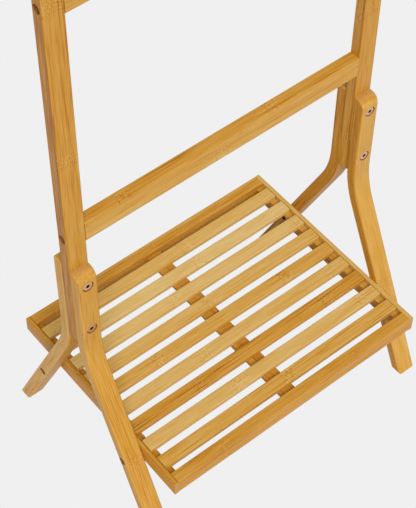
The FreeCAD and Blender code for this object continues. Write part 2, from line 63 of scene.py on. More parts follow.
# %% A grid of points becomes a mesh
def weave_grid(name, points, closed=False, capped=False):
    """Mesh from points[piece, row, column, xyz].  Each cell joins four neighbouring points; closed
    joins the last column to the first, and capped closes the first and last row with a fan to
    their middle."""
    points = np.asarray(points, float)
    pieces, rows, columns = points.shape[:3]
    number = np.arange(pieces * rows * columns).reshape(pieces, rows, columns)
    after = np.roll(number, -1, axis=2) if closed else number[:, :, 1:]
    here = number if closed else number[:, :, :-1]
    cells = np.stack([here[:, :-1], after[:, :-1], after[:, 1:], here[:, 1:]], axis=-1)
    corners = points.reshape(-1, 3)
    faces = cells.reshape(-1, 4).tolist()
    if capped:
        first, last = points[:, 0].mean(axis=1), points[:, -1].mean(axis=1)
        middle = len(corners) + np.arange(2 * pieces)
        corners = np.concatenate([corners, first, last])
        fan = np.repeat(middle.reshape(2, pieces, 1), columns, axis=2)
        low = np.stack([after[:, 0], here[:, 0], fan[0]], -1)
        high = np.stack([here[:, -1], after[:, -1], fan[1]], -1)
        faces += low.reshape(-1, 3).tolist() + high.reshape(-1, 3).tolist()
    mesh = bpy.data.meshes.new(name)
    mesh.from_pydata(corners.tolist(), [], faces)
    mesh.update()
    mesh.shade_smooth()
    made = bpy.data.objects.new(name, mesh)
    bpy.context.scene.collection.objects.link(made)
    print(name, "has", len(corners), "points and", len(faces), "faces")
    return made


# %% [markdown]
# ## The studio
#
# A product like this is usually shown on a seamless pale sweep, lit so evenly that no shadow shows
# on it.  A curved sheet with several soft lamps would do that; a very large flat floor, an even sky
# and one broad lamp do it from every side, with nothing to place.
#
# The eye sees the floor evenly lit.  To all other light it is a soft grey reflector, so the
# underside of the wood keeps its depth instead of being washed out from below.

# %% The floor
FLOOR_REACH = 30.0
FLOOR_POINTS = 13

across = np.linspace(-FLOOR_REACH, FLOOR_REACH, FLOOR_POINTS)
floor_x, floor_y = np.meshgrid(across, across)
floor = weave_grid("floor", np.stack([floor_x, floor_y, np.zeros_like(floor_x)], -1)[None])

# %% Finish of the floor
FLOOR_TONE = 0.87
FLOOR_PAINT = 0.72


def pale_floor():
    """Evenly lit pale sweep for the eye, and a soft grey reflector for all other light."""
    material = bpy.data.materials.new("pale_floor")
    material.use_nodes = True
    tree = material.node_tree
    paint = tree.nodes["Principled BSDF"]
    paint.inputs["Base Color"].default_value = (FLOOR_PAINT, FLOOR_PAINT, FLOOR_PAINT, 1)
    paint.inputs["Roughness"].default_value = 1.0
    paint.inputs["Specular IOR Level"].default_value = 0.0
    lit = tree.nodes.new("ShaderNodeEmission")
    lit.inputs["Color"].default_value = (FLOOR_TONE, FLOOR_TONE, FLOOR_TONE, 1)
    eye = tree.nodes.new("ShaderNodeLightPath").outputs["Is Camera Ray"]
    seen = tree.nodes.new("ShaderNodeMixShader")
    tree.links.new(eye, seen.inputs[0])
    tree.links.new(paint.outputs[0], seen.inputs[1])
    tree.links.new(lit.outputs[0], seen.inputs[2])
    tree.links.new(seen.outputs[0], tree.nodes["Material Output"].inputs["Surface"])
    return material


floor.data.materials.append(pale_floor())
print("the floor looks", FLOOR_TONE, "bright and reflects", FLOOR_PAINT)

# %% Sky and lamp
SKY_LIGHT = 0.48
KEY_STRENGTH = 2.70
KEY_FROM = Vector((-0.26, -0.53, 0.68))
KEY_ANGLE = math.radians(28)

sky = bpy.data.worlds.new("studio")
sky.use_nodes = True
glow = sky.node_tree.nodes["Background"]
glow.inputs["Color"].default_value = (1, 1, 1, 1)
glow.inputs["Strength"].default_value = SKY_LIGHT
bpy.context.scene.world = sky

key = bpy.data.objects.new("key_lamp", bpy.data.lights.new("key_lamp", "SUN"))
key.data.energy = KEY_STRENGTH
key.data.angle = KEY_ANGLE
key.rotation_euler = KEY_FROM.to_track_quat("Z", "Y").to_euler()
bpy.context.scene.collection.objects.link(key)
bpy.context.scene.view_settings.view_transform = "Standard"
print("key lamp comes from", tuple(round(v, 2) for v in KEY_FROM.normalized()))

# %% [markdown]
# ## The camera
#
# The shelf is seen from the front left and from well above, through a long lens from about two
# metres away, close enough to lose the ladder's top, so that the tray fills the lower half.  A
# constraint could aim the camera at the tray, but it would keep the view dead level; three angles
# also allow the view its slight roll.

# %% Camera
CAMERA_PLACE = Vector((-0.7569, -0.8985, 1.8109))
CAMERA_TURN = math.radians(-39.306)
CAMERA_TILT = math.radians(52.457)
CAMERA_ROLL = math.radians(0.566)
LENS = 109.31
SENSOR_WIDTH = 36.0

back = Vector((math.sin(CAMERA_TURN) * math.cos(CAMERA_TILT),
               -math.cos(CAMERA_TURN) * math.cos(CAMERA_TILT), math.sin(CAMERA_TILT)))
right = Vector((0, 0, 1)).cross(back).normalized()
up = back.cross(right)
right_rolled = math.cos(CAMERA_ROLL) * right + math.sin(CAMERA_ROLL) * up
up_rolled = math.cos(CAMERA_ROLL) * up - math.sin(CAMERA_ROLL) * right
camera = bpy.data.objects.new("camera", bpy.data.cameras.new("camera"))
camera.data.lens = LENS
camera.data.sensor_width = SENSOR_WIDTH
turned = Matrix((right_rolled, up_rolled, back)).transposed().to_4x4()
camera.matrix_world = Matrix.Translation(CAMERA_PLACE) @ turned
bpy.context.scene.collection.objects.link(camera)
bpy.context.scene.camera = camera
print("camera looks along", tuple(round(-v, 3) for v in back))

# %% [markdown]
# ## Small words for wiring a material
#
# A material is a chain of small sums.  It could be wired by hand in the shader editor, but a
# hundred nodes are hard to read there.  With these helpers a chain reads as a sentence: place a
# node, feed its sockets, take what comes out.

# %% Helpers that place and join nodes
def place(tree, kind, feeds, **settings):
    """Adds one node; feeds maps a socket to a number, a colour or another node's output."""
    made = tree.nodes.new(kind)
    for setting, value in settings.items():
        setattr(made, setting, value)
    for socket, value in feeds.items():
        if isinstance(value, bpy.types.NodeSocket):
            tree.links.new(value, made.inputs[socket])
        else:
            made.inputs[socket].default_value = value
    return made


def sum_of(tree, operation, *values):
    """One step of arithmetic."""
    return place(tree, "ShaderNodeMath", dict(enumerate(values)), operation=operation).outputs[0]


def vector_sum(tree, operation, first, second):
    """One step of arithmetic on a place or a direction."""
    return place(tree, "ShaderNodeVectorMath", {0: first, 1: second}, operation=operation).outputs


def fade(tree, value, start, end):
    """0 before start, 1 after end, smooth between; start may be above end."""
    feeds = {"Value": value, "From Min": start, "From Max": end, "To Min": 0.0, "To Max": 1.0}
    made = place(tree, "ShaderNodeMapRange", feeds, interpolation_type="SMOOTHSTEP")
    return made.outputs["Result"]


def choose(tree, pick, when_no, when_yes):
    """when_no where pick is 0, when_yes where it is 1."""
    feeds = {0: pick, 2: when_no, 3: when_yes}
    return place(tree, "ShaderNodeMix", feeds, data_type="FLOAT").outputs[0]


def mix_colours(tree, share, first, second):
    """The first colour where share is 0, the second where it is 1."""
    feeds = {0: share, 6: first, 7: second}
    return place(tree, "ShaderNodeMix", feeds, data_type="RGBA").outputs[2]


print("six helpers, from one node to a mix of two colours")

# %% Helpers for noise and for groups
def stretched(tree, spot, along, across, seed):
    """The spot with its grain direction and its cross directions scaled by different amounts."""
    scaled = vector_sum(tree, "MULTIPLY", spot, (along, across, across))
    return vector_sum(tree, "ADD", scaled[0], seed)[0]


def cloud(tree, spot, detail):
    """Soft noise from 0 to 1."""
    feeds = {"Vector": spot, "Scale": 1.0, "Detail": detail}
    return place(tree, "ShaderNodeTexNoise", feeds).outputs["Fac"]


def new_group(name, inputs, outputs):
    """An empty node group with named sockets, given as (label, kind)."""
    tree = bpy.data.node_groups.new(name, "ShaderNodeTree")
    for way, sockets in (("INPUT", inputs), ("OUTPUT", outputs)):
        for label, kind in sockets:
            tree.interface.new_socket(label, in_out=way, socket_type="NodeSocket" + kind)
    ins = tree.nodes.new("NodeGroupInput").outputs
    outs = tree.nodes.new("NodeGroupOutput").inputs
    print("group", name, "takes", len(inputs), "values and gives", len(outputs))
    return tree, ins, outs


# %% [markdown]
# ## Bamboo
#
# A bamboo board is glued from strips split off the cane.  Each strip keeps its own tone; its fibres
# run dead straight and show as fine darker streaks; and every twenty centimetres or so the cane had
# a knuckle, which is left in the strip as a curved ridge line with a mottled patch beside it.  Cut
# across, the fibres show as dark dots.
#
# A picture of bamboo wrapped over the pieces would blur close up and break at their edges.  A
# pattern worked out from noise runs through the whole solid, so it is right on every face.  It is
# written once, in a group that works in the wood's own directions: along the grain, across it and
# through the thickness.  Each piece then says which way its grain runs.

# %% Strips
def strips(tree, ins):
    """The number of the strip and layer here is the place divided by their size, rounded.  Gives
    the spot, three random numbers of that strip, and how far it is from the strip's middle line."""
    spot = place(tree, "ShaderNodeSeparateXYZ", {0: ins["Spot"]}).outputs
    column = sum_of(tree, "ROUND", sum_of(tree, "DIVIDE", spot[1], ins["Strip Width"]))
    layer = sum_of(tree, "ROUND", sum_of(tree, "DIVIDE", spot[2], ins["Layer Depth"]))
    address = place(tree, "ShaderNodeCombineXYZ", {0: column, 1: layer, 2: ins["Seed"]})
    lot = place(tree, "ShaderNodeTexWhiteNoise", {"Vector": address.outputs[0]},
                noise_dimensions="3D")
    drawn = place(tree, "ShaderNodeSeparateColor", {0: lot.outputs["Color"]}).outputs
    aside = sum_of(tree, "SUBTRACT", spot[1],
                   sum_of(tree, "MULTIPLY", column, ins["Strip Width"]))
    return spot, drawn, aside


# %% Knuckles
KNUCKLE_SPACING = 0.215
KNUCKLE_STAGGER = 0.37        # share of the spacing from one piece's seed to the next
KNUCKLE_BOW = 14.0            # times the square of the way aside
KNUCKLE_WANDER = 0.006
RIDGE_FADE = (0.0019, 0.0004)
PATCH_MIDDLE = 0.0075
PATCH_FADE = (0.0170, 0.0040)


def knuckle(tree, ins, spot, drawn, aside, bend):
    """Ridge line and mottled patch where the cane had a joint.  Past is how far this spot lies past
    the line, which bows with the square of the way aside and wanders a little."""
    phase = sum_of(tree, "ADD", sum_of(tree, "DIVIDE", spot[0], KNUCKLE_SPACING), drawn[1])
    phase = sum_of(tree, "ADD", phase, sum_of(tree, "MULTIPLY", ins["Seed"], KNUCKLE_STAGGER))
    past = sum_of(tree, "SUBTRACT", sum_of(tree, "FRACT", phase), 0.5)
    past = sum_of(tree, "MULTIPLY", past, KNUCKLE_SPACING)
    bow = sum_of(tree, "MULTIPLY", sum_of(tree, "MULTIPLY", aside, aside), KNUCKLE_BOW)
    wander = sum_of(tree, "MULTIPLY", sum_of(tree, "SUBTRACT", bend, 0.5), KNUCKLE_WANDER)
    past = sum_of(tree, "ADD", past, sum_of(tree, "ADD", bow, wander))
    ridge = fade(tree, sum_of(tree, "ABSOLUTE", past), *RIDGE_FADE)
    beside = sum_of(tree, "ABSOLUTE", sum_of(tree, "SUBTRACT", past, PATCH_MIDDLE))
    return ridge, fade(tree, beside, *PATCH_FADE)


print("a knuckle every", KNUCKLE_SPACING, "m")

# %% Colours of lacquered bamboo
BAMBOO_TONES = [  # from the darkest streak to the palest strip
    (0.00, (0.150, 0.045, 0.004)), (0.22, (0.370, 0.135, 0.008)),
    (0.42, (0.500, 0.220, 0.018)), (0.62, (0.560, 0.300, 0.055)),
    (0.82, (0.600, 0.380, 0.115)), (1.00, (0.650, 0.460, 0.190))]
FIBRE_ENDS = (0.36, 0.16, 0.026, 1)
BETWEEN_FIBRES = (0.52, 0.27, 0.065, 1)
BORE_PAINTED_SHADE = (0.240, 0.100, 0.022, 1)
FIBRES_PER_METRE = 1100.0
DOT_SCATTER = 0.9
DOT_FADE = (0.25, 0.45)


def bamboo_colour(tree, ins, tone):
    """The tone's colour, with dotted fibre ends where the piece is sawn, and painted shade in a
    bore.
    """
    ramp = place(tree, "ShaderNodeValToRGB", {"Fac": tone})
    while len(ramp.color_ramp.elements) < len(BAMBOO_TONES):
        ramp.color_ramp.elements.new(0.5)
    for stop, (where, colour) in zip(ramp.color_ramp.elements, BAMBOO_TONES):
        stop.position, stop.color = where, colour + (1.0,)
    dots = place(tree, "ShaderNodeTexVoronoi", {"Vector": ins["Spot"], "Scale": FIBRES_PER_METRE,
                                                "Randomness": DOT_SCATTER})
    dotted = fade(tree, dots.outputs["Distance"], *DOT_FADE)
    cut = mix_colours(tree, dotted, FIBRE_ENDS, BETWEEN_FIBRES)
    colour = mix_colours(tree, ins["Cut End"], ramp.outputs["Color"], cut)
    # Painted shade: the walls of the bores take a dark colour.
    return mix_colours(tree, ins["Bore Shade"], colour, BORE_PAINTED_SHADE)


print("bamboo has", len(BAMBOO_TONES), "tones")

# %% The pattern
GRAIN_CLOUDS = {  # changes per metre along the grain and across it, and detail
    "broad": (5.0, 70.0, 2.0), "bands": (11.0, 520.0, 2.0), "flecks": (24.0, 760.0, 1.0),
    "fibres": (38.0, 1500.0, 3.0), "speckle": (480.0, 640.0, 2.0), "bend": (60.0, 240.0, 1.0)}
TONE_PARTS = {  # value that leaves the tone alone, and weight
    "strip": (0.5, 0.22), "broad": (0.5, 0.22), "flecks": (0.5, 0.44), "fibres": (0.5, 0.44),
    "streak": (0.25, -0.25), "seam": (0.0, -0.14)}
SEED_SHIFT, STRIP_SHIFT, LAYER_SHIFT = 7.3, 31.0, 17.0
STREAK_FADE = (0.52, 0.68)
SEAM_WIDTH = 0.0005
MOTTLE_MARK = 1.35
RIDGE_MARK = 0.08
ROUGH_REST, ROUGH_FIBRES, ROUGH_STREAK = 0.34, 0.16, 0.06
HIGH_FIBRES, HIGH_MOTTLE, DEEP_STREAK, DEEP_SEAM = 0.6, 0.8, 0.35, 0.8


def build_bamboo_grain():
    """Group: spot in the wood's own directions -> colour, roughness and height of lacquered bamboo.
    Tone is the piece's own tone plus each part's distance from rest times its weight."""
    tree, ins, outs = new_group(
        "bamboo_grain",
        [("Spot", "Vector"), ("Seed", "Float"), ("Tone", "Float"), ("Strip Width", "Float"),
         ("Layer Depth", "Float"), ("Streaks", "Float"), ("Knuckles", "Float"),
         ("Cut End", "Float"), ("Bore Shade", "Float")],
        [("Color", "Color"), ("Roughness", "Float"), ("Height", "Float")])

    def times(value, weight):
        return sum_of(tree, "MULTIPLY", value, weight)

    spot, drawn, aside = strips(tree, ins)
    shift = place(tree, "ShaderNodeCombineXYZ",
                  {0: times(ins["Seed"], SEED_SHIFT), 1: times(drawn[0], STRIP_SHIFT),
                   2: times(drawn[2], LAYER_SHIFT)}).outputs[0]
    parts = {name: cloud(tree, stretched(tree, ins["Spot"], along, across, shift), detail)
             for name, (along, across, detail) in GRAIN_CLOUDS.items()}
    ridge, patch = knuckle(tree, ins, spot, drawn, aside, parts["bend"])
    mottle = times(sum_of(tree, "SUBTRACT", parts["speckle"], 0.5), patch)
    half_strip = times(ins["Strip Width"], 0.5)
    parts["strip"] = drawn[0]
    parts["streak"] = times(fade(tree, parts["bands"], *STREAK_FADE), ins["Streaks"])
    parts["seam"] = fade(tree, sum_of(tree, "ABSOLUTE", aside),
                         sum_of(tree, "SUBTRACT", half_strip, SEAM_WIDTH), half_strip)
    tone = ins["Tone"]
    for name, (rest, weight) in TONE_PARTS.items():
        away = sum_of(tree, "SUBTRACT", parts[name], rest)
        tone = sum_of(tree, "ADD", tone, times(away, weight))
    marks = sum_of(tree, "SUBTRACT", times(mottle, MOTTLE_MARK), times(ridge, RIDGE_MARK))
    tone = sum_of(tree, "ADD", tone, times(marks, ins["Knuckles"]))
    rough = sum_of(tree, "ADD", times(parts["fibres"], ROUGH_FIBRES),
                   times(parts["streak"], ROUGH_STREAK))
    height = sum_of(tree, "ADD", times(parts["fibres"], HIGH_FIBRES), times(mottle, HIGH_MOTTLE))
    height = sum_of(tree, "SUBTRACT", height, times(parts["streak"], DEEP_STREAK))
    height = sum_of(tree, "SUBTRACT", height, times(parts["seam"], DEEP_SEAM))
    tree.links.new(bamboo_colour(tree, ins, tone), outs["Color"])
    tree.links.new(sum_of(tree, "ADD", rough, ROUGH_REST), outs["Roughness"])
    tree.links.new(height, outs["Height"])
    return tree


bamboo_grain = build_bamboo_grain()
print("bamboo pattern uses", len(bamboo_grain.nodes), "nodes")

# %% [markdown]
# ## Which way the grain runs
#
# A straight bar's grain runs along it, so its spot is only centred and turned.  The legs were
# steamed and bent round a former before they dried, so their fibres follow the bend; straight grain
# would run out of the face there, as if the leg had been sawn from a plank.
#
# A second group unrolls a leg: above the bend nothing changes, in the bend the way along is angle
# times radius, and below it the spot is turned back by the whole bend.

# %% Unrolling a bent leg
BEND_LEVEL = 0.317
BEND_REACH = 0.166
BEND_RADIUS = 0.150
SPLAY = math.radians(24.6)
FRONT_TO_REAR = 0.5           # keeps the patterns of front and rear legs apart


def build_leg_unroller():
    """Group: place on a leg -> (way along the grain, across, through), in metres."""
    tree, ins, outs = new_group("leg_unroller", [("Place", "Vector")], [("Spot", "Vector")])

    def times(value, factor):
        return sum_of(tree, "MULTIPLY", value, factor)

    spot = place(tree, "ShaderNodeSeparateXYZ", {0: ins["Place"]}).outputs
    reach = sum_of(tree, "SUBTRACT", BEND_REACH, sum_of(tree, "ABSOLUTE", spot[1]))
    drop = sum_of(tree, "SUBTRACT", BEND_LEVEL, spot[2])
    turn = sum_of(tree, "ARCTAN2", drop, reach)
    radius = sum_of(tree, "SQRT", sum_of(tree, "ADD", times(reach, reach), times(drop, drop)))
    shin_radius = sum_of(tree, "ADD", times(reach, math.cos(SPLAY)), times(drop, math.sin(SPLAY)))
    shin_along = sum_of(tree, "SUBTRACT", times(drop, math.cos(SPLAY)),
                        times(reach, math.sin(SPLAY)))
    shin_along = sum_of(tree, "ADD", shin_along, SPLAY * BEND_RADIUS)
    below = sum_of(tree, "GREATER_THAN", drop, 0.0)
    past = times(below, sum_of(tree, "GREATER_THAN", turn, SPLAY))
    along = choose(tree, below, drop, times(turn, BEND_RADIUS))
    along = choose(tree, past, along, shin_along)
    side = sum_of(tree, "SIGN", spot[1])
    along = sum_of(tree, "ADD", along, times(side, FRONT_TO_REAR))
    through = choose(tree, below, reach, radius)
    through = sum_of(tree, "SUBTRACT", BEND_REACH, choose(tree, past, through, shin_radius))
    joined = place(tree, "ShaderNodeCombineXYZ", {0: along, 1: spot[0], 2: through})
    tree.links.new(joined.outputs[0], outs["Spot"])
    return tree


leg_unroller = build_leg_unroller()
print("leg unroller uses", len(leg_unroller.nodes), "nodes")

# %% Where a spot lies in the wood
GRAIN_ORDER = {"x": (0, 1, 2), "y": (1, 0, 2), "z": (2, 0, 1)}
LEG_MIDDLE = 0.016            # from the ladder's plane to the middle of a leg's thickness


def middle_of(node):
    """Middle of a CAD node's box."""
    low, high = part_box(node)
    return (low + high) / 2


def piece_spot(tree, grain, middle):
    """Place on the piece, centred and with the grain first; legs are unrolled instead."""
    spot = tree.nodes.new("ShaderNodeTexCoord").outputs["Object"]
    if grain == "leg":
        unrolled = place(tree, "ShaderNodeGroup", {0: spot}, node_tree=leg_unroller).outputs[0]
        return vector_sum(tree, "SUBTRACT", unrolled, (0.0, middle[0], LEG_MIDDLE))[0]
    centred = vector_sum(tree, "SUBTRACT", spot, tuple(middle))[0]
    parts = place(tree, "ShaderNodeSeparateXYZ", {0: centred}).outputs
    feeds = {i: parts[axis] for i, axis in enumerate(GRAIN_ORDER[grain])}
    return place(tree, "ShaderNodeCombineXYZ", feeds).outputs[0]


print("middle of the lower rail:", tuple(round(float(v), 4) for v in middle_of("lower_rail")))

# %% Sawn faces and drilled holes
SAWN_AXIS = {"x": (1, 0, 0), "y": (0, 1, 0), "z": (0, 0, 1), "leg": (0, 0, 1)}
SAWN_FADE = (0.80, 0.93)


def facing(tree, axis, start, end):
    """1 on faces that look along the axis, either way, and 0 on the others."""
    normal = tree.nodes.new("ShaderNodeNewGeometry").outputs["Normal"]
    way = vector_sum(tree, "DOT_PRODUCT", normal, axis)["Value"]
    return fade(tree, sum_of(tree, "ABSOLUTE", way), start, end)


def bore_shade_mask(tree, bores):
    """1 on the walls of drilled holes, where shade is painted.  A bore is (plane, middle, radius):
    plane has 0 along the drill and 1 across it, and a wall lies closer to the middle than the
    radius once both are flattened."""
    spot = tree.nodes.new("ShaderNodeTexCoord").outputs["Object"]
    found = 0.0
    for plane, middle, radius in bores:
        flat = vector_sum(tree, "MULTIPLY", spot, plane)[0]
        away = vector_sum(tree, "DISTANCE", flat, middle)["Value"]
        found = sum_of(tree, "MAXIMUM", found, sum_of(tree, "LESS_THAN", away, radius))
    return found


print("a face is sawn where its normal lies along the grain by", SAWN_FADE[1], "or more")

# %% Bamboo for one piece
SIDE_AXIS = (1, 0, 0)
SIDE_SHADING_FADE = (0.5, 0.8)
RELIEF_STRENGTH = 0.30
RELIEF_DEPTH = 0.0004
LACQUER_GLOSS = 0.20


def bamboo(node, grain, seed, tone, strip, layer, streaks, knuckles=1.0, painted_side_shading=0.0, bores=()):
    """Lacquered bamboo for one piece.  The side shading is added to the tone on sideways faces as
    painted shade where below 0 and painted light where above; the bores get painted shade."""
    material = bpy.data.materials.new("bamboo_" + node)
    material.use_nodes = True
    tree = material.node_tree
    # Painted light and shade on the faces that look sideways, for how the lamps fall on them.
    if painted_side_shading:
        sideways = facing(tree, SIDE_AXIS, *SIDE_SHADING_FADE)
        tone = sum_of(tree, "ADD", tone, sum_of(tree, "MULTIPLY", sideways, painted_side_shading))
    feeds = {"Spot": piece_spot(tree, grain, middle_of(node)), "Seed": float(seed), "Tone": tone,
             "Strip Width": strip, "Layer Depth": layer, "Streaks": streaks,
             "Knuckles": knuckles, "Cut End": facing(tree, SAWN_AXIS[grain], *SAWN_FADE),
             "Bore Shade": bore_shade_mask(tree, bores)}
    wood = place(tree, "ShaderNodeGroup", feeds, node_tree=bamboo_grain).outputs
    relief = place(tree, "ShaderNodeBump", {"Height": wood["Height"], "Strength": RELIEF_STRENGTH,
                                            "Distance": RELIEF_DEPTH})
    skin = tree.nodes["Principled BSDF"]
    tree.links.new(wood["Color"], skin.inputs["Base Color"])
    tree.links.new(wood["Roughness"], skin.inputs["Roughness"])
    tree.links.new(relief.outputs["Normal"], skin.inputs["Normal"])
    skin.inputs["Specular IOR Level"].default_value = LACQUER_GLOSS
    return material


def dress(target, material):
    """Puts the material in every slot of the piece."""
    if not target.data.materials:
        target.data.materials.append(material)
    for place_in_list in range(len(target.data.materials)):
        target.data.materials[place_in_list] = material


print("the lacquer's relief is", RELIEF_DEPTH, "m deep")

# %% [markdown]
# ## Bars, rails and boards
#
# These pieces are planed flat and drilled, with sunk seats for the bolt heads.  They could be made
# anew from boxes and cut with Booleans, but their CAD shapes already have the right bores and
# seats, so only their finish is new.  Bars and rails are pressed from wide strips; the long
# boards' top edges show the narrow edges of many.  Little light gets into a drilled seat, so its
# walls are given painted shade.

# %% Where the bolts sit
RAIL_LEVELS = (0.492, 0.832, 1.172)
LEG_BOLT_LEVELS = (0.338, 0.420)
TRAY_BOLT_LEVEL = 0.130
TRAY_BOLT_OUT = 0.0855
BAR_MIDDLE = 0.2135
# Painted shade darkens the seat walls out to these radii.
SIDE_BORE = 0.0056            # radius round the deep seats in the outer faces
LEG_BORE = 0.0073             # radius round the shallow seats in the legs' broad faces
DRILLED_SIDEWAYS = (0.0, 1.0, 1.0)
DRILLED_FRONTWAYS = (1.0, 0.0, 1.0)

rail_bores = [(DRILLED_SIDEWAYS, (0.0, 0.0, level), SIDE_BORE) for level in RAIL_LEVELS]


def leg_bores(side, end):
    """Sunk seats of one leg: two for the leg bolts and one for the tray bolt."""
    seats = [(DRILLED_FRONTWAYS, (BAR_MIDDLE * side, 0.0, level), LEG_BORE)
             for level in LEG_BOLT_LEVELS]
    return seats + [(DRILLED_SIDEWAYS, (0.0, TRAY_BOLT_OUT * end, TRAY_BOLT_LEVEL), SIDE_BORE)]


print("an upright has", len(rail_bores), "seats and a leg has", len(leg_bores(-1, -1)))

# %% Bars and rails
BAR_BUILD = dict(strip=0.032, layer=0.0085, streaks=0.8, knuckles=0.8)
BAR_PLAN = {  # grain, seed, tone, painted side shading, bores
    "left_upright": ("z", 1, 0.50, -0.24, rail_bores),
    "right_upright": ("z", 2, 0.47, -0.14, rail_bores),
    "lower_rail": ("x", 3, 0.53, 0.0, ()),
    "middle_rail": ("x", 4, 0.53, 0.0, ()),
    "top_rail": ("x", 5, 0.53, 0.0, ()),
    "left_front_leg": ("leg", 6, 0.40, 0.03, leg_bores(-1, -1)),
    "right_front_leg": ("leg", 7, 0.50, -0.08, leg_bores(1, -1)),
    "left_rear_leg": ("leg", 8, 0.54, 0.05, leg_bores(-1, 1)),
    "right_rear_leg": ("leg", 9, 0.57, -0.22, leg_bores(1, 1)),
}
for node, (grain, seed, tone, painted_side_shading, bores) in BAR_PLAN.items():
    dress(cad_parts[node],
          bamboo(node, grain, seed, tone, painted_side_shading=painted_side_shading, bores=bores, **BAR_BUILD))
print(len(BAR_PLAN), "bars, rails and legs dressed")

# %% Boards
BOARD_BUILD = dict(layer=0.030, streaks=0.7, knuckles=0.5)
BOARD_PLAN = {  # grain, seed, tone, width of the strips
    "front_board": ("x", 11, 0.50, 0.0055), "back_board": ("x", 12, 0.46, 0.0055),
    # The left side board and left cleat take darker tones than the right ones: painted shade, for
    # the shade that falls on the left of the tray.
    "left_side_board": ("y", 13, 0.30, 0.025), "right_side_board": ("y", 14, 0.70, 0.025),
    "left_cleat": ("y", 15, 0.28, 0.010), "right_cleat": ("y", 16, 0.42, 0.010),
    "middle_strip": ("y", 17, 0.38, 0.030),
}
for node, (grain, seed, tone, strip) in BOARD_PLAN.items():
    dress(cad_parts[node], bamboo(node, grain, seed, tone, strip=strip, **BOARD_BUILD))
print(len(BOARD_PLAN), "boards dressed")

# %% [markdown]
# ## Slats
#
# Each slat is one flat strip of cane, planed, with its edges eased by a sanding block.  A box with
# a Bevel modifier would have soft edges too, but a dead flat top.  This one is an eased rectangle
# carried along X that draws in a little at both ends, and its top is crowned by a fraction of a
# millimetre, so light rolls over it instead of stopping dead at the edge.

# %% Outline of a slat
ARC_POINTS = 6
SIDE_SHARES = [0.02, 0.08, 0.3, 0.5, 0.7, 0.92, 0.98]


def eased_profile(half_width, half_height, ease, crown):
    """Rounded rectangle, anticlockwise: straight sides joined by quarter circles of radius ease.
    The top drops by crown times the square of the way out to its edge."""
    turn = np.linspace(0, np.pi / 2, ARC_POINTS)
    corners = [(1, -1, -np.pi / 2), (1, 1, 0.0), (-1, 1, np.pi / 2), (-1, -1, np.pi)]
    arcs = [np.stack([out * (half_width - ease) + ease * np.cos(start + turn),
                      above * (half_height - ease) + ease * np.sin(start + turn)], -1)
            for out, above, start in corners]
    share = np.array(SIDE_SHARES)[:, None]
    sides = [arc[-1] + share * (arcs[(i + 1) % 4][0] - arc[-1]) for i, arc in enumerate(arcs)]
    line = np.concatenate([part for pair in zip(arcs, sides) for part in pair])
    drop = crown * (line[:, 0] / half_width) ** 2 * np.clip(line[:, 1] / half_height, 0, 1)
    return line - np.stack([np.zeros_like(drop), drop], -1)


print("a slat's outline has", 4 * (ARC_POINTS + len(SIDE_SHARES)), "points")

# %% A slat along its length
RUN_POINTS = 5
RUN_STOP = 1.6                # in eases from the end
END_INSETS = (1.2, 2.0)       # of the two rings on the end face, in eases


def eased_bar(length, width, height, ease, crown):
    """Profile carried along X.  Near an end it shrinks by ease * (1 - cos a) while x goes on by
    ease * sin a, and two rings on the end face keep its rim crisp."""
    angle = np.linspace(0, np.pi / 2, ARC_POINTS)
    end = length / 2
    way = np.concatenate([end - ease + ease * np.sin(angle), [end, end]])
    inset = np.concatenate([ease * (1 - np.cos(angle)), ease * np.array(END_INSETS)])
    inner = np.linspace(0, end - ease * RUN_STOP, RUN_POINTS)
    way, inset = np.concatenate([inner, way]), np.concatenate([np.zeros(RUN_POINTS), inset])
    way, inset = np.concatenate([-way[:0:-1], way]), np.concatenate([inset[:0:-1], inset])
    reach = np.array([width / 2, height / 2])
    rings = eased_profile(*reach, ease, crown)[None] * (1 - inset[:, None, None] / reach)
    return np.concatenate([np.broadcast_to(way[:, None, None], rings.shape[:2] + (1,)), rings], -1)


print("a slat has", 2 * (RUN_POINTS + ARC_POINTS + len(END_INSETS)) - 1, "rings")

# %% Make the slats
SLAT_TONES = [0.63, 0.83, 0.86, 0.67, 0.58, 0.70, 0.38, 0.64, 0.53]
SLAT_STREAKS = [0.5, 0.4, 0.4, 0.9, 1.0, 0.8, 1.1, 0.8, 1.2]
SLAT_BUILD = dict(strip=0.021, layer=0.02)
SLAT_EASE = 0.0011
SLAT_CROWN = 0.00015
FIRST_SLAT_SEED = 21

for index, (tone, streaks) in enumerate(zip(SLAT_TONES, SLAT_STREAKS)):
    node = "slat_%d" % (index + 1)
    low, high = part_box(node)
    rings = eased_bar(*(high - low), SLAT_EASE, SLAT_CROWN) + np.array(middle_of(node))
    slat = weave_grid("slat_piece_%d" % (index + 1), rings[None], closed=True, capped=True)
    dress(slat, bamboo(node, "x", FIRST_SLAT_SEED + index, tone, streaks=streaks, **SLAT_BUILD))
    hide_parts(node)
    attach(slat, "root")

# %% [markdown]
# ## Bolts
#
# The bolts are zinc-plated steel with a warm passivated tint: cap heads with a hexagon socket,
# turned on a lathe.  Inserts and screws, which nobody sees, are given a very dark steel.
#
# A cylinder with the hexagon cut out by a Boolean leaves long thin faces that shade badly.  Here a
# profile is spun about an axis, as on the lathe, and only the socket's rings are hexagons instead
# of circles, so its faces stay four-sided and even.

# %% Steel
HAZE_PER_METRE = 260.0
HAZE_DETAIL = 3.0
SOCKET_PAINTED_SHADE = (0.030, 0.018, 0.012, 1)
STEEL_ROUGH, STEEL_ROUGH_SPREAD = 0.20, 0.2


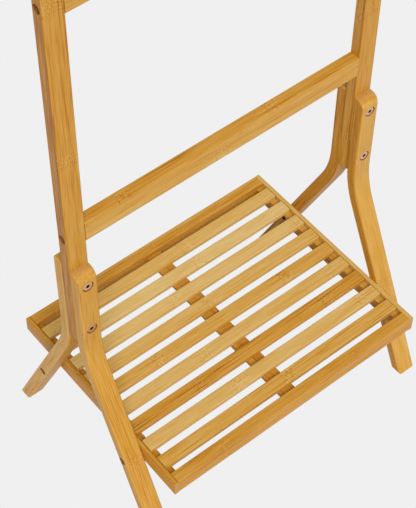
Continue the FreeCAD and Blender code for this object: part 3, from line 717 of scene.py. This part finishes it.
def zinc_steel(name, dull, bright):
    """Plated steel with a faint cloudy tint; the mesh's own mark tells where painted shade makes it
    almost black: the socket's walls and floor, and whole bolts at the bottom of deep seats."""
    material = bpy.data.materials.new(name)
    material.use_nodes = True
    tree = material.node_tree
    spot = tree.nodes.new("ShaderNodeTexCoord").outputs["Object"]
    haze = place(tree, "ShaderNodeTexNoise", {"Vector": spot, "Scale": HAZE_PER_METRE,
                                              "Detail": HAZE_DETAIL}).outputs["Fac"]
    painted_socket_shade = place(tree, "ShaderNodeAttribute", {}, attribute_name="painted_socket_shade").outputs["Fac"]
    tint = mix_colours(tree, painted_socket_shade, mix_colours(tree, haze, dull, bright), SOCKET_PAINTED_SHADE)
    rough = sum_of(tree, "ADD", sum_of(tree, "MULTIPLY", haze, STEEL_ROUGH_SPREAD), STEEL_ROUGH)
    skin = tree.nodes["Principled BSDF"]
    tree.links.new(tint, skin.inputs["Base Color"])
    tree.links.new(rough, skin.inputs["Roughness"])
    skin.inputs["Metallic"].default_value = 1.0
    return material


steel = zinc_steel("zinc_plated_steel", (0.62, 0.33, 0.17, 1), (0.94, 0.62, 0.38, 1))
dark_steel = zinc_steel("dark_steel", (0.07, 0.035, 0.018, 1), (0.16, 0.085, 0.045, 1))
for node in ("rail_inserts", "tray_inserts", "slat_screws"):
    dress(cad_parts[node], dark_steel)
print("steels:", steel.name, "and", dark_steel.name)

# %% A turned bolt with a hexagon socket
AROUND = 48
SOCKET_FLATS = 0.004
SOCKET_DEPTH = 0.0025
HEAD_HEIGHT = 0.004


def cap_bolt(head, shank, length):
    """Rings of a bolt along +Z, its head up and the underside of the head at 0.  head and shank
    are radii.  A socket ring's radius is flats / (2 cos a), a measured from a flat's middle."""
    angle = np.linspace(0, 2 * np.pi, AROUND, endpoint=False)
    hexagon = SOCKET_FLATS / 2 / np.cos((angle % (np.pi / 3)) - np.pi / 6)
    top, bottom = HEAD_HEIGHT, HEAD_HEIGHT - SOCKET_DEPTH
    socket = [  # share of the hexagon, height
        (0.93, bottom), (1.0, bottom + 0.0001), (1.0, bottom + 0.0008), (1.0, top - 0.0004),
        (1.04, top - 0.0002)]
    face = [  # radius, height: from the socket's rim over the head's rounded edge and down its side
        (0.0028, top), (0.0031, top), (head - 0.0011, top), (head - 0.0007, top),
        (head - 0.0003, top - 0.0001), (head - 0.0001, top - 0.0003), (head, top - 0.0006),
        (head, top - 0.0012), (head, 0.0005)]
    under = [  # radius, height: the underside, the shank and its chamfered end
        (head, 0.0002), (head - 0.0002, 0.0), (head - 0.0005, 0.0), (shank + 0.0003, 0.0),
        (shank, -0.0003), (shank, -0.001), (shank, 0.001 - length),
        (shank - 0.0002, 0.0004 - length), (shank - 0.0006, -length), (shank - 0.0010, -length)]
    drill_tip = [(0.0006, bottom - 0.0004)]
    rings = np.array(drill_tip + socket + face + under)
    radius = np.repeat(rings[:, :1], AROUND, axis=1)
    radius[1:1 + len(socket)] *= hexagon
    height = np.broadcast_to(rings[:, 1:], radius.shape)
    return np.stack([radius * np.cos(angle), radius * np.sin(angle), height], -1)[::-1]


print("a bolt's rings have the shape", cap_bolt(0.0065, 0.003, 0.0295).shape)

# %% Put copies of a bolt in their seats
SOCKET_RIM = 0.0026


def stand_bolts(name, node, bolt, seats, ways, painted_hole_shade=0.0):
    """Copies of one bolt, one per seat; way k is where bolt k's head faces, and the last argument
    is how much painted shade covers the whole bolt at the bottom of its hole."""
    turns = np.array([Vector(way).to_track_quat("Z", "X").to_matrix() for way in ways])
    placed = np.einsum("kij,rcj->krci", turns, bolt) + np.array(seats)[:, None, None, :]
    made = weave_grid(name, placed, closed=True, capped=True)
    # Painted shade: the socket's walls and floor are marked to be almost black.
    inside = (np.hypot(bolt[..., 0], bolt[..., 1]) < SOCKET_RIM) & (bolt[..., 2] > 0)
    tips, floors = np.zeros(len(seats)), np.ones(len(seats))
    painted_socket_shade = np.concatenate([np.tile(inside.ravel(), len(seats)), tips, floors])
    painted_socket_shade = np.maximum(painted_socket_shade, painted_hole_shade).astype(np.float32)
    made.data.attributes.new("painted_socket_shade", "FLOAT", "POINT").data.foreach_set("value", painted_socket_shade)
    dress(made, steel)
    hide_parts(node)
    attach(made, "root")


print("a socket lies within", SOCKET_RIM, "m of its bolt's axis")

# %% Leg bolts and sleeve nuts
SHANK = 0.003
SLEEVE = 0.004
LEG_HEAD = 0.0065
LEG_SEAT = 0.0195
LEG_BOLT_LENGTH = 0.0295
SLEEVE_LENGTH = 0.0175

leg_spots = [(x, z) for x in (-BAR_MIDDLE, BAR_MIDDLE) for z in LEG_BOLT_LEVELS]
stand_bolts("leg_bolt_pieces", "leg_bolts", cap_bolt(LEG_HEAD, SHANK, LEG_BOLT_LENGTH),
            [(x, -LEG_SEAT, z) for x, z in leg_spots], [(0, -1, 0)] * len(leg_spots))
stand_bolts("sleeve_nut_pieces", "leg_sleeve_nuts", cap_bolt(LEG_HEAD, SLEEVE, SLEEVE_LENGTH),
            [(x, LEG_SEAT, z) for x, z in leg_spots], [(0, 1, 0)] * len(leg_spots))

# %% Rail bolts and tray bolts
SIDE_HEAD = 0.005
SIDE_SEAT = 0.2175
RAIL_BOLT_LENGTH = 0.040
TRAY_BOLT_LENGTH = 0.032


def stand_side_bolts(name, node, length, spots):
    """Bolts that enter from the left and right at (y, z), each at the bottom of a deep seat."""
    seats = [(side, y, z) for side in (-1, 1) for y, z in spots]
    # These bolts get painted shade all over, for lying at the bottom of a deep seat.
    stand_bolts(name, node, cap_bolt(SIDE_HEAD, SHANK, length),
                [(side * SIDE_SEAT, y, z) for side, y, z in seats],
                [(side, 0, 0) for side, y, z in seats], painted_hole_shade=1.0)


stand_side_bolts("rail_bolt_pieces", "rail_bolts", RAIL_BOLT_LENGTH,
                 [(0.0, level) for level in RAIL_LEVELS])
stand_side_bolts("tray_bolt_pieces", "tray_bolts", TRAY_BOLT_LENGTH,
                 [(y, TRAY_BOLT_LEVEL) for y in (-TRAY_BOLT_OUT, TRAY_BOLT_OUT)])
